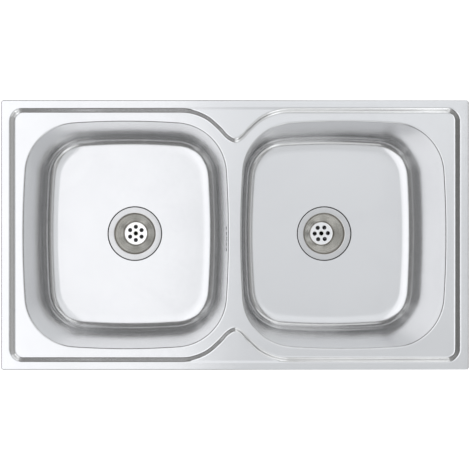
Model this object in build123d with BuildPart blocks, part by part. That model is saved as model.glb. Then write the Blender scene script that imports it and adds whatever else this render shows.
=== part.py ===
"""Inset double bowl kitchen sink in pressed stainless steel, with its waste fittings and rim clamps.

Sizes are in millimetres. The origin is the centre of the worktop cut-out, on the worktop's surface.
+X runs to the right as seen from the front, +Y to the back and +Z up.
"""
import os
from math import atan2, cos, hypot, radians, sin, sqrt, tan

from build123d import *

os.makedirs("parts", exist_ok=True)

# ---------------------------------------------------------------- driving sizes

# pressed sheet and rim
overall_width = 780.0
overall_depth = 450.0
outer_corner_r = 5.0
sheet = 0.8
rim_height = 4.0            # top of the border above the worktop
edge_roll_r = 2.5
border_side = 13.2          # flat border at the left and right
border_front = 13.0         # flat border at the front and back

# step from the border down to the ledge round the bowls
deck_drop = 8.0
band_side = 10.0            # width of the sloping band at the left and right
band_front = 7.8            # width of the sloping band at the front and back
step_outer_r = 24.0
step_inner_r = 12.0
bend_r = 2.0

# ledge round the bowls, and raised islands between the bowls' corners at the front and the back
ledge_side = 13.0           # from the step's foot to a bowl, at the left and right
ledge_front = 14.2          # from the step's foot to a bowl, at the front and back
land_width = 22.0           # between the two bowls
island_drop = 1.2
island_lead = 1.0           # from the bowls' round corners to the island's shoulders
island_tip_land = 54.8      # width of the land at the island's tip
island_shape = ((1.0, 0.0), (0.738, 0.036), (0.48, 0.245), (0.271, 0.6), (0.143, 0.867), (0.0, 1.0))

# bowls
bowl_bow = 10.0             # how far each side bulges, from corner to middle
bowl_corner_r = 86.0
bowl_depth = 146.5          # below the ledge
bowl_draft = 5.0            # degrees
mouth_roll_r = 3.0
floor_fillet_r = 28.0
floor_dish_r = 9000.0       # the floor falls to the drain on this radius
weld_depth = 7.5            # below the ledge, where the bowls are welded on

# drains
drain_shift = 6.3           # from the bowl's centre towards the middle of the sink
recess_d = 101.0
recess_depth = 2.6
drain_hole_d = 86.0

# strainer cup
flange_d = 98.0
flange_sheet = 1.0
cup_mouth_d = 76.6
cup_depth = 30.0
plate_d = 42.6
cup_bend_r = 2.0
strainer_hole_d = 8.0
strainer_pitch_d = 25.0
strainer_hole_count = 6
strainer_turn = {"left": 30.0, "right": 2.0}    # degrees

# waste seals and body
gasket_thickness = 1.0
gasket_width = 7.0          # shows as a thin dark ring round the strainer's flange
washer_thickness = 3.0
washer_width = 9.0
body_flange_d = 100.0
body_flange_thickness = 3.0
body_wall = 3.0
body_inner_d = 86.0
body_straight = 19.0        # height of the cylindrical part, from the washer down
body_cone = 14.0
outlet_d = 47.8             # 1 1/2 inch male pipe thread, over the crests
outlet_bore_d = 40.0
outlet_length = 36.0
boss_d = 16.6
rib_thickness = 2.6
rib_count = 3
rib_height = 10.0

# centre screw
screw_d = 10.0
screw_length = 17.0
screw_head_d = 12.0
screw_head_height = 0.6
socket_across_flats = 7.0
socket_depth = 9.0
screw_clearance = 0.2
insert_d = 12.5
insert_length = 13.0

# overflow
overflow_y = -7.0
overflow_depth = 21.0       # below the ledge
overflow_hole_width = 5.5
overflow_hole_height = 12.0
overflow_pitch = 9.2
overflow_hole_count = 5
overflow_gasket_thickness = 2.0
head_width = 62.0
head_height = 28.0
head_front_rim = 4.0        # width of the head's sealing rim
head_back_wall = 2.0
head_reach = 20.5           # from the bowl's wall to the back of the head
head_corner_r = 6.0
overflow_screw_d = 4.0
overflow_screw_head_d = 7.0
overflow_screw_head_height = 1.4
overflow_screw_length = 16.0
overflow_post_d = 8.5
overflow_post_gap = 0.3     # between the head's post and the bowl's wall

# overflow pipe and its two unions
pipe_d = 18.0
pipe_bore_d = 15.0
pipe_bend_r = 40.0
pipe_reach = 12.0           # from the bowl's wall to the pipe's axis
spigot_d = 22.0
spigot_length = 16.0
socket_length = 12.0
pipe_clearance = 0.3
union_nut_d = 24.8
union_grip_d = 2.0          # ribs round a union nut
union_grip_count = 14
union_nut_length = 14.0
union_lip = 2.5
union_ring_height = 3.0
thread_clearance = 0.1
inlet_drop = 18.0           # from the body's top to the side inlet's axis

# edge seal and sound pads
seal_width = 8.0
seal_inset = 2.8            # from the outside of the rim
pad_inset_side = 60.5       # from the bowl's mouth to the pad, at the left and right
pad_inset_front = 64.5      # from the bowl's mouth to the pad, at the front and back
pad_corner_r = 30.0
pad_thickness = 3.0
pad_hole_d = 132.0

# rim clamps
stud_d = 5.0
stud_reach = 64.0           # lowest point of the studs under the worktop's surface
clamp_corner_inset = 42.0   # from a bowl's outer side to the corner studs
clamp_row_inset = 10.7      # from the step's foot to the studs, at the front and back
clamp_side_inset = 4.6      # from the step's foot to the studs, at the left and right
claw_width = 14.0
claw_length = 36.0
claw_heel = 6.2
claw_sheet = 2.0
claw_toe_height = 8.0
claw_bend_r = 2.0
claw_hole_clearance = 0.3
toe_top = -44.0             # rest height of the claws' toes
nut_across_flats = 8.0
nut_height = 5.0
nut_flange_d = 11.4
nut_flange_height = 1.2
nut_clearance = 0.05

# ---------------------------------------------------------------- levels and places worked out from them

half_width = overall_width / 2
half_depth = overall_depth / 2
step_foot_x = half_width - border_side - band_side
step_foot_y = half_depth - border_front - band_front
bowl_half_width = (step_foot_x - ledge_side - land_width / 2) / 2
bowl_half_depth = step_foot_y - ledge_front
bowl_centre_x = land_width / 2 + bowl_half_width
tip_run = bowl_corner_r + (land_width - island_tip_land) / 2
island_half_width = land_width / 2 + bowl_corner_r + island_lead
island_reach = ledge_front + bowl_corner_r - sqrt(bowl_corner_r**2 - tip_run**2)
clamp_row_x = step_foot_x - ledge_side - clamp_corner_inset
clamp_row_y = step_foot_y - clamp_row_inset
clamp_side_x = step_foot_x - clamp_side_inset
deck_z = rim_height - deck_drop
island_z = rim_height - island_drop
seam_z = deck_z - weld_depth
floor_z = deck_z - bowl_depth
recess_z = floor_z - recess_depth
flange_top_z = recess_z + gasket_thickness + flange_sheet
plate_z = flange_top_z - cup_depth
plate_under_z = plate_z - flange_sheet
washer_top_z = recess_z - sheet
body_top_z = washer_top_z - washer_thickness
cone_top_z = body_top_z - body_straight
cone_foot_z = cone_top_z - body_cone
outlet_end_z = cone_foot_z - outlet_length
inlet_z = body_top_z - inlet_drop
drain_x = bowl_centre_x - drain_shift

draft_ratio = tan(radians(bowl_draft))
island_share = (deck_drop - island_drop) / deck_drop
sides = {"left": -1, "right": 1}
poles_aside = (90, 0, 0)    # turns the dish's sphere so that neither pole nor seam lies in a bowl's floor


def export(part, name):
    """Label a finished piece and write its STEP file."""
    part.label = name
    export_step(part, f"parts/{name}.step")
    print(f"{name:24s} {part.volume:12.1f} mm3  {len(part.solids())} solids  valid {part.is_valid}")


def level_edges(part, z, half_x, half_y, centre_x=0.0):
    """Edges lying flat at height z, within a rectangle about (centre_x, 0)."""
    tolerance = 0.001
    found = []
    for edge in part.edges():
        box = edge.bounding_box()
        flat = abs(box.max.Z - z) < tolerance and abs(box.min.Z - z) < tolerance
        inside_x = max(box.max.X - centre_x, centre_x - box.min.X) < half_x
        inside_y = max(box.max.Y, -box.min.Y) < half_y
        if flat and inside_x and inside_y:
            found.append(edge)
    return found


# ---------------------------------------------------------------- the pressed form: rim, step, islands and bowls


def island_curve(inner_y, spread):
    """Half of an island's foot line, from its shoulder to its tip, moved outwards by spread."""
    line = [(island_half_width * u, inner_y - island_reach * v) for u, v in island_shape]
    moved = []
    for i, (x, y) in enumerate(line):
        before = line[max(i - 1, 0)]
        after = line[i + 1] if i + 1 < len(line) else (-line[-2][0], line[-2][1])
        run = (before[0] - after[0], before[1] - after[1])
        length = hypot(*run)
        normal = (0.0, 1.0) if i in (0, len(line) - 1) else (-run[1] / length, run[0] / length)
        moved.append((x + normal[0] * spread, y + normal[1] * spread))
    return moved


def lobed_outline(half_x, half_y, corner_r, curve, z):
    """The ledge's outline: a rounded rectangle with an island's curve cut in at the back and the front."""
    back = [(-x, y) for x, y in curve] + [(x, y) for x, y in reversed(curve[:-1])]
    front = [(x, -y) for x, y in reversed(back)]
    with BuildSketch(Plane.XY.offset(z)) as outline:
        with BuildLine():
            Spline(*back, tangents=[(1, 0), (1, 0)])
            Line(back[-1], (half_x - corner_r, half_y))
            RadiusArc((half_x - corner_r, half_y), (half_x, half_y - corner_r), corner_r)
            Line((half_x, half_y - corner_r), (half_x, corner_r - half_y))
            RadiusArc((half_x, corner_r - half_y), (half_x - corner_r, -half_y), corner_r)
            Line((half_x - corner_r, -half_y), front[0])
            Spline(*front, tangents=[(-1, 0), (-1, 0)])
            Line(front[-1], (corner_r - half_x, -half_y))
            RadiusArc((corner_r - half_x, -half_y), (-half_x, corner_r - half_y), corner_r)
            Line((-half_x, corner_r - half_y), (-half_x, half_y - corner_r))
            RadiusArc((-half_x, half_y - corner_r), (corner_r - half_x, half_y), corner_r)
            Line((corner_r - half_x, half_y), back[0])
        make_face()
    return outline.sketch


def rim_form(shift):
    """The solid under the rim, step and islands, with its faces moved shift into the metal."""
    slope = atan2(deck_drop, band_front)
    grow = shift * tan(slope / 2)
    inner_x = step_foot_x + grow
    inner_y = step_foot_y + grow
    island_x = inner_x + band_side * island_share
    island_y = inner_y + band_front * island_share
    outer_x = inner_x + band_side
    outer_y = inner_y + band_front
    middle_r = step_inner_r + (step_outer_r - step_inner_r) * island_share
    with BuildPart() as lower:
        add(lobed_outline(inner_x, inner_y, step_inner_r, island_curve(inner_y, 0), deck_z - shift))
        upper_curve = island_curve(inner_y, band_front * island_share)
        add(lobed_outline(island_x, island_y, middle_r, upper_curve, island_z - shift))
        loft(ruled=True)
    with BuildPart() as upper:
        with BuildSketch(Plane.XY.offset(island_z - shift)):
            RectangleRounded(2 * island_x, 2 * island_y, middle_r)
        with BuildSketch(Plane.XY.offset(rim_height - shift)):
            RectangleRounded(2 * outer_x, 2 * outer_y, step_outer_r)
        loft(ruled=True)
    with BuildPart() as form:
        with BuildSketch(Plane.XY.offset(seam_z)):
            RectangleRounded(overall_width - 2 * shift, overall_depth - 2 * shift, outer_corner_r - shift)
        extrude(amount=rim_height - shift - seam_z)
        rolled = form.faces().sort_by(Axis.Z)[-1].edges()
        fillet(rolled, edge_roll_r - shift)
        add(lower.part, mode=Mode.SUBTRACT)
        add(upper.part, mode=Mode.SUBTRACT)
        fillet(level_edges(form, deck_z - shift, outer_x, outer_y), bend_r + shift)
        fillet(level_edges(form, rim_height - shift, outer_x + 1, outer_y + 1), bend_r - shift)
    return form.part


def bowl_outline(centre_x, z, grow):
    """A bowl's outline at height z: a rectangle with bowed sides and large round corners."""
    inset = (deck_z - z) * draft_ratio - grow / cos(radians(bowl_draft))
    half_x = bowl_half_width - inset
    half_y = bowl_half_depth - inset
    corner_x = half_x - bowl_bow
    corner_y = half_y - bowl_bow
    with BuildSketch(Plane.XY.offset(z)) as outline:
        with BuildLine():
            ThreePointArc((centre_x - corner_x, -corner_y), (centre_x, -half_y), (centre_x + corner_x, -corner_y))
            ThreePointArc((centre_x + corner_x, -corner_y), (centre_x + half_x, 0), (centre_x + corner_x, corner_y))
            ThreePointArc((centre_x + corner_x, corner_y), (centre_x, half_y), (centre_x - corner_x, corner_y))
            ThreePointArc((centre_x - corner_x, corner_y), (centre_x - half_x, 0), (centre_x - corner_x, -corner_y))
        make_face()
        fillet(outline.vertices(), bowl_corner_r - inset)
    return outline.sketch


def bowl_cavity(side, grow):
    """The space inside a bowl, grown by grow: drafted walls, rounded foot, dished floor and drain recess."""
    centre_x = side * bowl_centre_x
    top_z = rim_height + bend_r
    blank_z = floor_z - recess_depth - floor_fillet_r / 4
    with BuildPart() as cavity:
        add(bowl_outline(centre_x, top_z, grow))
        add(bowl_outline(centre_x, blank_z, grow))
        loft(ruled=True)
        with Locations((side * drain_x, 0, floor_z + floor_dish_r)):
            Sphere(floor_dish_r + grow, rotation=poles_aside, mode=Mode.INTERSECT)
        foot = cavity.faces().filter_by(GeomType.SPHERE).edges()
        fillet(foot, floor_fillet_r + grow)
        with BuildSketch(Plane.XY.offset(recess_z - grow)):
            with Locations((side * drain_x, 0)):
                Circle(recess_d / 2 + grow)
        extrude(amount=recess_depth * 2)
    return cavity.part


cavities = {}
for side_name, side in sides.items():
    cavities[side_name] = (bowl_cavity(side, 0), bowl_cavity(side, sheet))

deck_top = rim_form(0)
deck_under = rim_form(sheet)

# deck: rim, step, islands and ledge, pressed from one sheet, with a short collar down to each bowl
forms = []
for level, form in enumerate((deck_top, deck_under)):
    shift = level * sheet
    with BuildPart() as formed:
        add(form)
        for side_name, side in sides.items():
            add(cavities[side_name][level], mode=Mode.SUBTRACT)
            reach_x = bowl_half_width + mouth_roll_r
            reach_y = bowl_half_depth + mouth_roll_r
            mouth = level_edges(formed, deck_z - shift, reach_x, reach_y, side * bowl_centre_x)
            fillet(mouth, mouth_roll_r - shift)
    forms.append(formed.part)

with BuildPart() as deck:
    add(forms[0])
    add(forms[1], mode=Mode.SUBTRACT)
    with BuildSketch(Plane.XY.offset(seam_z)):
        RectangleRounded(overall_width + 2 * sheet, overall_depth + 2 * sheet, outer_corner_r)
        with BuildSketch(mode=Mode.SUBTRACT):
            Rectangle(overall_width - 4 * sheet, overall_depth - 4 * sheet)
    extrude(amount=-seam_z, mode=Mode.SUBTRACT)
export(deck.part, "deck")

# bowls: one drawn shell each, from the weld seam down, with the drain hole and the left one's overflow
wall_x = bowl_centre_x - bowl_half_width + overflow_depth * draft_ratio
overflow_z = deck_z - overflow_depth
hole_row = Plane(origin=(-wall_x, overflow_y, overflow_z), x_dir=(0, 1, 0), z_dir=(1, 0, 0))
for side_name, side in sides.items():
    inner, outer = cavities[side_name]
    with BuildPart() as bowl:
        add(outer)
        add(inner, mode=Mode.SUBTRACT)
        split(bisect_by=Plane.XY.offset(seam_z), keep=Keep.BOTTOM)
        with BuildSketch(Plane.XY.offset(recess_z - 2 * sheet)):
            with Locations((side * drain_x, 0)):
                Circle(drain_hole_d / 2)
        extrude(amount=recess_depth + 2 * sheet, mode=Mode.SUBTRACT)
        if side_name == "left":
            with BuildSketch(hole_row):
                with GridLocations(overflow_pitch, 0, overflow_hole_count, 1):
                    SlotOverall(overflow_hole_height, overflow_hole_width, rotation=90)
            extrude(amount=overflow_hole_width, both=True, mode=Mode.SUBTRACT)
    export(bowl.part, f"bowl_{side_name}")

# ---------------------------------------------------------------- under the rim: edge seal, studs and sound pads

seal_outer_x = half_width - seal_inset
seal_outer_y = half_depth - seal_inset
with BuildPart() as edge_seal:
    with BuildSketch():
        RectangleRounded(2 * seal_outer_x, 2 * seal_outer_y, outer_corner_r - seal_inset)
        RectangleRounded(
            2 * (seal_outer_x - seal_width), 2 * (seal_outer_y - seal_width), outer_corner_r, mode=Mode.SUBTRACT
        )
    extrude(amount=rim_height - sheet)
export(edge_seal.part, "edge_seal")

# each clamp: its stud's place, the direction of the worktop's edge in degrees, and what it hangs from
under_deck = deck_z - sheet
under_island = island_z - sheet
clamps = [
    (-clamp_row_x, clamp_row_y, 90, under_deck),
    (0.0, clamp_row_y, 90, under_island),
    (clamp_row_x, clamp_row_y, 90, under_deck),
    (clamp_side_x, 0.0, 0, under_deck),
    (clamp_row_x, -clamp_row_y, -90, under_deck),
    (0.0, -clamp_row_y, -90, under_island),
    (-clamp_row_x, -clamp_row_y, -90, under_deck),
    (-clamp_side_x, 0.0, 180, under_deck),
]
with BuildPart() as clamp_studs:
    for x, y, outward, top_z in clamps:
        with BuildSketch(Plane.XY.offset(-stud_reach)):
            with Locations((x, y)):
                Circle(stud_d / 2)
        extrude(amount=top_z + stud_reach)
export(clamp_studs.part, "clamp_studs")

pad_width = 2 * (bowl_half_width - pad_inset_side)
pad_length = 2 * (bowl_half_depth - pad_inset_front)
for side_name, side in sides.items():
    with BuildPart() as sound_pad:
        with BuildSketch(Plane.XY.offset(floor_z - recess_depth - pad_thickness)):
            with Locations((side * bowl_centre_x, 0)):
                RectangleRounded(pad_width, pad_length, pad_corner_r)
            with Locations((side * drain_x, 0)):
                Circle(pad_hole_d / 2, mode=Mode.SUBTRACT)
        extrude(amount=recess_depth + 2 * pad_thickness)
        with Locations((side * drain_x, 0, floor_z + floor_dish_r)):
            Sphere(floor_dish_r + sheet + pad_thickness, rotation=poles_aside, mode=Mode.INTERSECT)
            Sphere(floor_dish_r + sheet, rotation=poles_aside, mode=Mode.SUBTRACT)
    export(sound_pad.part, f"sound_pad_{side_name}")

# ---------------------------------------------------------------- strainers and wastes

flange_r = flange_d / 2
mouth_r = cup_mouth_d / 2
plate_r = plate_d / 2
hole_r = drain_hole_d / 2
body_r = body_inner_d / 2
outlet_r = outlet_d / 2
bore_r = outlet_bore_d / 2
boss_foot_z = cone_foot_z - rib_height

for side_name, side in sides.items():
    x = side * drain_x
    profile = Plane(origin=(x, 0, 0), x_dir=(1, 0, 0), z_dir=(0, -1, 0))
    axis = Axis((x, 0, 0), (0, 0, 1))

    with BuildPart() as strainer_cup:
        with BuildSketch(profile) as cup_section:
            with BuildLine():
                Polyline(
                    (0, plate_z),
                    (plate_r, plate_z),
                    (mouth_r, flange_top_z),
                    (flange_r, flange_top_z),
                    (flange_r, flange_top_z - flange_sheet),
                    (mouth_r + flange_sheet, flange_top_z - flange_sheet),
                    (plate_r + flange_sheet, plate_under_z),
                    (0, plate_under_z),
                    close=True,
                )
            make_face()
            bends = cup_section.vertices().filter_by_position(Axis.X, plate_r - 1, mouth_r + flange_sheet + 1)
            fillet(bends, cup_bend_r)
        revolve(axis=axis)
        with BuildSketch(Plane.XY.offset(plate_under_z - flange_sheet)):
            with Locations((x, 0)):
                with PolarLocations(strainer_pitch_d / 2, strainer_hole_count, start_angle=strainer_turn[side_name]):
                    Circle(strainer_hole_d / 2)
                Circle(screw_d / 2 + screw_clearance)
        extrude(amount=3 * flange_sheet, mode=Mode.SUBTRACT)
    export(strainer_cup.part, f"strainer_cup_{side_name}")

    with BuildPart() as floor_gasket:
        with BuildSketch(Plane.XY.offset(recess_z)):
            with Locations((x, 0)):
                Circle(hole_r + gasket_width)
                Circle(hole_r, mode=Mode.SUBTRACT)
        extrude(amount=gasket_thickness)
    export(floor_gasket.part, f"floor_gasket_{side_name}")

    with BuildPart() as waste_washer:
        with BuildSketch(Plane.XY.offset(body_top_z)):
            with Locations((x, 0)):
                Circle(hole_r + washer_width)
                Circle(hole_r, mode=Mode.SUBTRACT)
        extrude(amount=washer_thickness)
    export(waste_washer.part, f"waste_washer_{side_name}")

    with BuildPart() as waste_body:
        with BuildSketch(profile):
            with BuildLine():
                Polyline(
                    (body_r, body_top_z),
                    (body_flange_d / 2, body_top_z),
                    (body_flange_d / 2, body_top_z - body_flange_thickness),
                    (body_r + body_wall, body_top_z - body_flange_thickness),
                    (body_r + body_wall, cone_top_z),
                    (outlet_r, cone_foot_z - body_wall),
                    (outlet_r, outlet_end_z),
                    (bore_r, outlet_end_z),
                    (bore_r, cone_foot_z),
                    (body_r, cone_top_z),
                    close=True,
                )
            make_face()
        revolve(axis=axis)
        with BuildSketch(Plane.XY.offset(boss_foot_z)):
            with Locations((x, 0)):
                Circle(boss_d / 2)
        extrude(amount=plate_under_z - boss_foot_z)
        with BuildSketch(Plane.XY.offset(boss_foot_z)):
            with Locations((x, 0)):
                with PolarLocations(bore_r / 2, rib_count, start_angle=60):
                    Rectangle(bore_r + body_wall, rib_thickness)
        extrude(amount=rib_height)
        if side_name == "left":
            with BuildSketch(Plane(origin=(x + body_r + body_wall / 2, 0, inlet_z), z_dir=(1, 0, 0))):
                Circle(spigot_d / 2)
            extrude(amount=body_wall / 2 + spigot_length)
            with BuildSketch(Plane(origin=(x + body_r - body_wall, 0, inlet_z), z_dir=(1, 0, 0))):
                Circle(pipe_bore_d / 2)
            extrude(amount=2 * body_wall + spigot_length, mode=Mode.SUBTRACT)
            with BuildSketch(
                Plane(origin=(x + body_r + body_wall + spigot_length, 0, inlet_z), z_dir=(-1, 0, 0))
            ):
                Circle(pipe_d / 2 + pipe_clearance)
            extrude(amount=socket_length, mode=Mode.SUBTRACT)
        with BuildSketch(Plane.XY.offset(plate_under_z)):
            with Locations((x, 0)):
                Circle(insert_d / 2)
        extrude(amount=-screw_length, mode=Mode.SUBTRACT)
    export(waste_body.part, f"waste_body_{side_name}")

    with BuildPart() as centre_insert:
        with BuildSketch(Plane.XY.offset(plate_under_z)):
            with Locations((x, 0)):
                Circle(insert_d / 2)
                Circle(screw_d / 2, mode=Mode.SUBTRACT)
        extrude(amount=-insert_length)
    export(centre_insert.part, f"centre_insert_{side_name}")

    with BuildPart() as centre_screw:
        with BuildSketch(Plane.XY.offset(plate_z)):
            with Locations((x, 0)):
                Circle(screw_head_d / 2)
        extrude(amount=screw_head_height)
        head_edge = centre_screw.faces().sort_by(Axis.Z)[-1].edges()
        fillet(head_edge, screw_head_height / 2)
        with BuildSketch(Plane.XY.offset(plate_z)):
            with Locations((x, 0)):
                Circle(screw_d / 2)
        extrude(amount=-screw_length)
        with BuildSketch(Plane.XY.offset(plate_z + screw_head_height)):
            with Locations((x, 0)):
                RegularPolygon(socket_across_flats / 2, 6, major_radius=False)
        extrude(amount=-socket_depth, mode=Mode.SUBTRACT)
    export(centre_screw.part, f"centre_screw_{side_name}")

# ---------------------------------------------------------------- overflow

# the wall's outside face leans with the draft; gasket and head are cut to it
wall_out_x = -(wall_x - sheet / cos(radians(bowl_draft)))
pipe_x = wall_out_x + pipe_reach
lean = (cos(radians(bowl_draft)), 0, -sin(radians(bowl_draft)))
wall_face = Plane(origin=(wall_out_x, overflow_y, overflow_z), x_dir=(0, 1, 0), z_dir=lean)
head_face = wall_face.offset(overflow_gasket_thickness)
side_corner_y = bowl_half_depth - bowl_bow
side_arc_r = (side_corner_y**2 + bowl_bow**2) / (2 * bowl_bow)
wall_sag = overflow_y**2 / (2 * side_arc_r)
screw_seat = wall_face.offset(-sheet - wall_sag)
post_end = wall_face.offset(overflow_post_gap)
head_back_x = wall_out_x + head_reach
post_length = (head_back_x - head_back_wall / 2 - post_end.origin.X) / lean[0]
head_foot_z = overflow_z - head_height / 2
blank_x = wall_out_x - head_reach
upright_from_blank = Plane(origin=(blank_x, overflow_y, overflow_z), x_dir=(0, 1, 0), z_dir=(1, 0, 0))
window_width = head_width - 2 * head_front_rim
window_height = head_height - 2 * head_front_rim
window_r = head_corner_r - head_front_rim

with BuildPart() as overflow_gasket:
    with BuildSketch(upright_from_blank):
        RectangleRounded(head_width, head_height, head_corner_r)
        RectangleRounded(window_width, window_height, window_r, mode=Mode.SUBTRACT)
    extrude(amount=2 * head_reach)
    split(bisect_by=wall_face, keep=Keep.TOP)
    split(bisect_by=head_face, keep=Keep.BOTTOM)
export(overflow_gasket.part, "overflow_gasket")

with BuildPart() as overflow_head:
    with BuildSketch(upright_from_blank):
        RectangleRounded(head_width, head_height, head_corner_r)
    extrude(amount=2 * head_reach)
    with BuildSketch(Plane(origin=(pipe_x, 0, overflow_z), z_dir=(0, 0, -1))):
        Circle(spigot_d / 2)
    extrude(amount=head_height / 2 + spigot_length)
    split(bisect_by=head_face, keep=Keep.TOP)
    with BuildSketch(upright_from_blank):
        RectangleRounded(window_width, window_height, window_r)
    extrude(amount=2 * head_reach - head_back_wall, mode=Mode.SUBTRACT)
    with BuildSketch(post_end):
        Circle(overflow_post_d / 2)
    extrude(amount=post_length)
    with BuildSketch(Plane(origin=(pipe_x, 0, overflow_z), z_dir=(0, 0, -1))):
        Circle(pipe_bore_d / 2)
    extrude(amount=head_height / 2 + spigot_length, mode=Mode.SUBTRACT)
    with BuildSketch(Plane(origin=(pipe_x, 0, head_foot_z - spigot_length), z_dir=(0, 0, 1))):
        Circle(pipe_d / 2 + pipe_clearance)
    extrude(amount=socket_length, mode=Mode.SUBTRACT)
    with BuildSketch(post_end):
        Circle(overflow_screw_d / 2)
    extrude(amount=overflow_screw_length - sheet - overflow_post_gap, mode=Mode.SUBTRACT)
export(overflow_head.part, "overflow_head")

with BuildPart() as overflow_screw:
    with BuildSketch(screw_seat):
        Circle(overflow_screw_d / 2)
    extrude(amount=overflow_screw_length)
    with BuildSketch(screw_seat):
        Circle(overflow_screw_head_d / 2)
    extrude(amount=-overflow_screw_head_height)
    with BuildSketch(screw_seat.offset(-overflow_screw_head_height)):
        Rectangle(overflow_screw_head_d / 8, overflow_screw_head_d)
    extrude(amount=overflow_screw_head_height / 2, mode=Mode.SUBTRACT)
export(overflow_screw.part, "overflow_screw")

union_x = -drain_x + body_r + body_wall + spigot_length
pipe_top_z = head_foot_z - spigot_length + socket_length - pipe_clearance
pipe_end_x = union_x - socket_length + pipe_clearance
with BuildPart() as overflow_pipe:
    with BuildLine() as route:
        FilletPolyline(
            (pipe_x, 0, pipe_top_z), (pipe_x, 0, inlet_z), (pipe_end_x, 0, inlet_z), radius=pipe_bend_r
        )
    with BuildSketch(Plane(origin=(pipe_x, 0, pipe_top_z), z_dir=(0, 0, -1))):
        Circle(pipe_d / 2)
        Circle(pipe_bore_d / 2, mode=Mode.SUBTRACT)
    sweep(path=route.wires()[0])
export(overflow_pipe.part, "overflow_pipe")

# a union at each end of the pipe: a rubber ring on the spigot's end and the nut that presses it there
unions = {
    "head": Plane(origin=(pipe_x, 0, head_foot_z - spigot_length), x_dir=(1, 0, 0), z_dir=(0, 0, -1)),
    "body": Plane(origin=(union_x, 0, inlet_z), x_dir=(0, 1, 0), z_dir=(1, 0, 0)),
}
for union_name, spigot_end in unions.items():
    with BuildPart() as union_ring:
        with BuildSketch(spigot_end):
            Circle(spigot_d / 2)
            Circle(pipe_d / 2, mode=Mode.SUBTRACT)
        extrude(amount=union_ring_height)
    export(union_ring.part, f"union_ring_{union_name}")
    with BuildPart() as union_nut:
        with BuildSketch(spigot_end.offset(union_ring_height + union_lip - union_nut_length)):
            Circle(union_nut_d / 2)
            with PolarLocations(union_nut_d / 2, union_grip_count):
                Circle(union_grip_d / 2)
            Circle(spigot_d / 2 + thread_clearance, mode=Mode.SUBTRACT)
        extrude(amount=union_nut_length - union_lip)
        with BuildSketch(spigot_end.offset(union_ring_height)):
            Circle(union_nut_d / 2)
            Circle(pipe_d / 2 + pipe_clearance, mode=Mode.SUBTRACT)
        extrude(amount=union_lip)
    export(union_nut.part, f"union_nut_{union_name}")

# ---------------------------------------------------------------- rim clamps

strip_top_z = toe_top - claw_toe_height
strip_z = strip_top_z - claw_sheet
claw_hole_r = stud_d / 2 + claw_hole_clearance
for number, (x, y, outward, top_z) in enumerate(clamps, start=1):
    stowed = radians(outward - 90)
    along = (cos(stowed), sin(stowed), 0)
    across = (-sin(stowed), cos(stowed), 0)

    with BuildPart() as clamp_nut:
        with BuildSketch(Plane(origin=(x, y, strip_z), x_dir=along)):
            Circle(nut_flange_d / 2)
        extrude(amount=-nut_flange_height)
        with BuildSketch(Plane(origin=(x, y, strip_z), x_dir=along)):
            RegularPolygon(nut_across_flats / 2, 6, major_radius=False)
        extrude(amount=-nut_height)
        with BuildSketch(Plane(origin=(x, y, strip_z), x_dir=along)):
            Circle(stud_d / 2 + nut_clearance)
        extrude(amount=-nut_height, mode=Mode.SUBTRACT)
    export(clamp_nut.part, f"clamp_nut_{number}")

    with BuildPart() as clamp_claw:
        with BuildSketch(Plane(origin=(x, y, 0), x_dir=along, z_dir=(-across[0], -across[1], 0))) as claw_side:
            with BuildLine():
                Polyline(
                    (-claw_heel, strip_z),
                    (claw_length, strip_z),
                    (claw_length, toe_top),
                    (claw_length - claw_sheet, toe_top),
                    (claw_length - claw_sheet, strip_top_z),
                    (-claw_heel, strip_top_z),
                    close=True,
                )
            make_face()
            fillet(claw_side.vertices().sort_by_distance((claw_length, strip_z))[0], claw_bend_r + claw_sheet)
            inner_corner = (claw_length - claw_sheet, strip_top_z)
            fillet(claw_side.vertices().sort_by_distance(inner_corner)[0], claw_bend_r)
        extrude(amount=claw_width / 2, both=True)
        with BuildSketch(Plane(origin=(x, y, strip_z), x_dir=along)):
            Circle(claw_hole_r)
        extrude(amount=claw_sheet, mode=Mode.SUBTRACT)
    export(clamp_claw.part, f"clamp_claw_{number}")
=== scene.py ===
"""Studio view of an inset double bowl kitchen sink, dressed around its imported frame.

Everything is in metres, in the sink's own frame: the origin is the centre of the worktop cut-out on the
worktop's surface, +X runs to the right, +Y to the back and +Z up. The deck, the bowls and the strainer cups
are modelled here as sheet steel. The other nodes keep their own meshes and get a finish.
"""

from __future__ import annotations

import logging
import math
from dataclasses import dataclass, field
from enum import Enum
from typing import Sequence, Union

import bmesh
import bpy
from mathutils import Matrix, Vector

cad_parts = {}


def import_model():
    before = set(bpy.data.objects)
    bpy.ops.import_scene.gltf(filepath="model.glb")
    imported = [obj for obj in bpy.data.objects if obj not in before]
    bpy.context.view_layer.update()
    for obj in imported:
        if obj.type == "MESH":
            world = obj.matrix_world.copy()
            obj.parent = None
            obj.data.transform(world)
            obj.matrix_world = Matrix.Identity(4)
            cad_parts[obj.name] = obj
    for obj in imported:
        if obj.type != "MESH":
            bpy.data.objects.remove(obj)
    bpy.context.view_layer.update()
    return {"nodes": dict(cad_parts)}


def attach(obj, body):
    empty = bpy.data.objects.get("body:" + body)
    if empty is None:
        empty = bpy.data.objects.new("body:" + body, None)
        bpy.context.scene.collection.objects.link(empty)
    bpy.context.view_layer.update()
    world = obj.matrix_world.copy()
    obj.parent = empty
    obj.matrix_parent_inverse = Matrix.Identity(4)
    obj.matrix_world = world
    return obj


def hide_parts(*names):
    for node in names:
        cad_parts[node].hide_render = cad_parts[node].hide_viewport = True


LOG = logging.getLogger("sink")
MM = 0.001
# Coordinates this close lie on one line, and points this close are one point.
SAME_LINE = 1e-6
SAME_POINT = 1e-7
# Edges that bend more than this stay sharp under smooth shading.
SHARP = math.radians(40)

Ring = list[Vector]
Triple = tuple[float, float, float]
Socket = bpy.types.NodeSocket
Sockets = bpy.types.bpy_prop_collection
Feed = Union[Socket, float, tuple[float, ...]]


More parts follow.
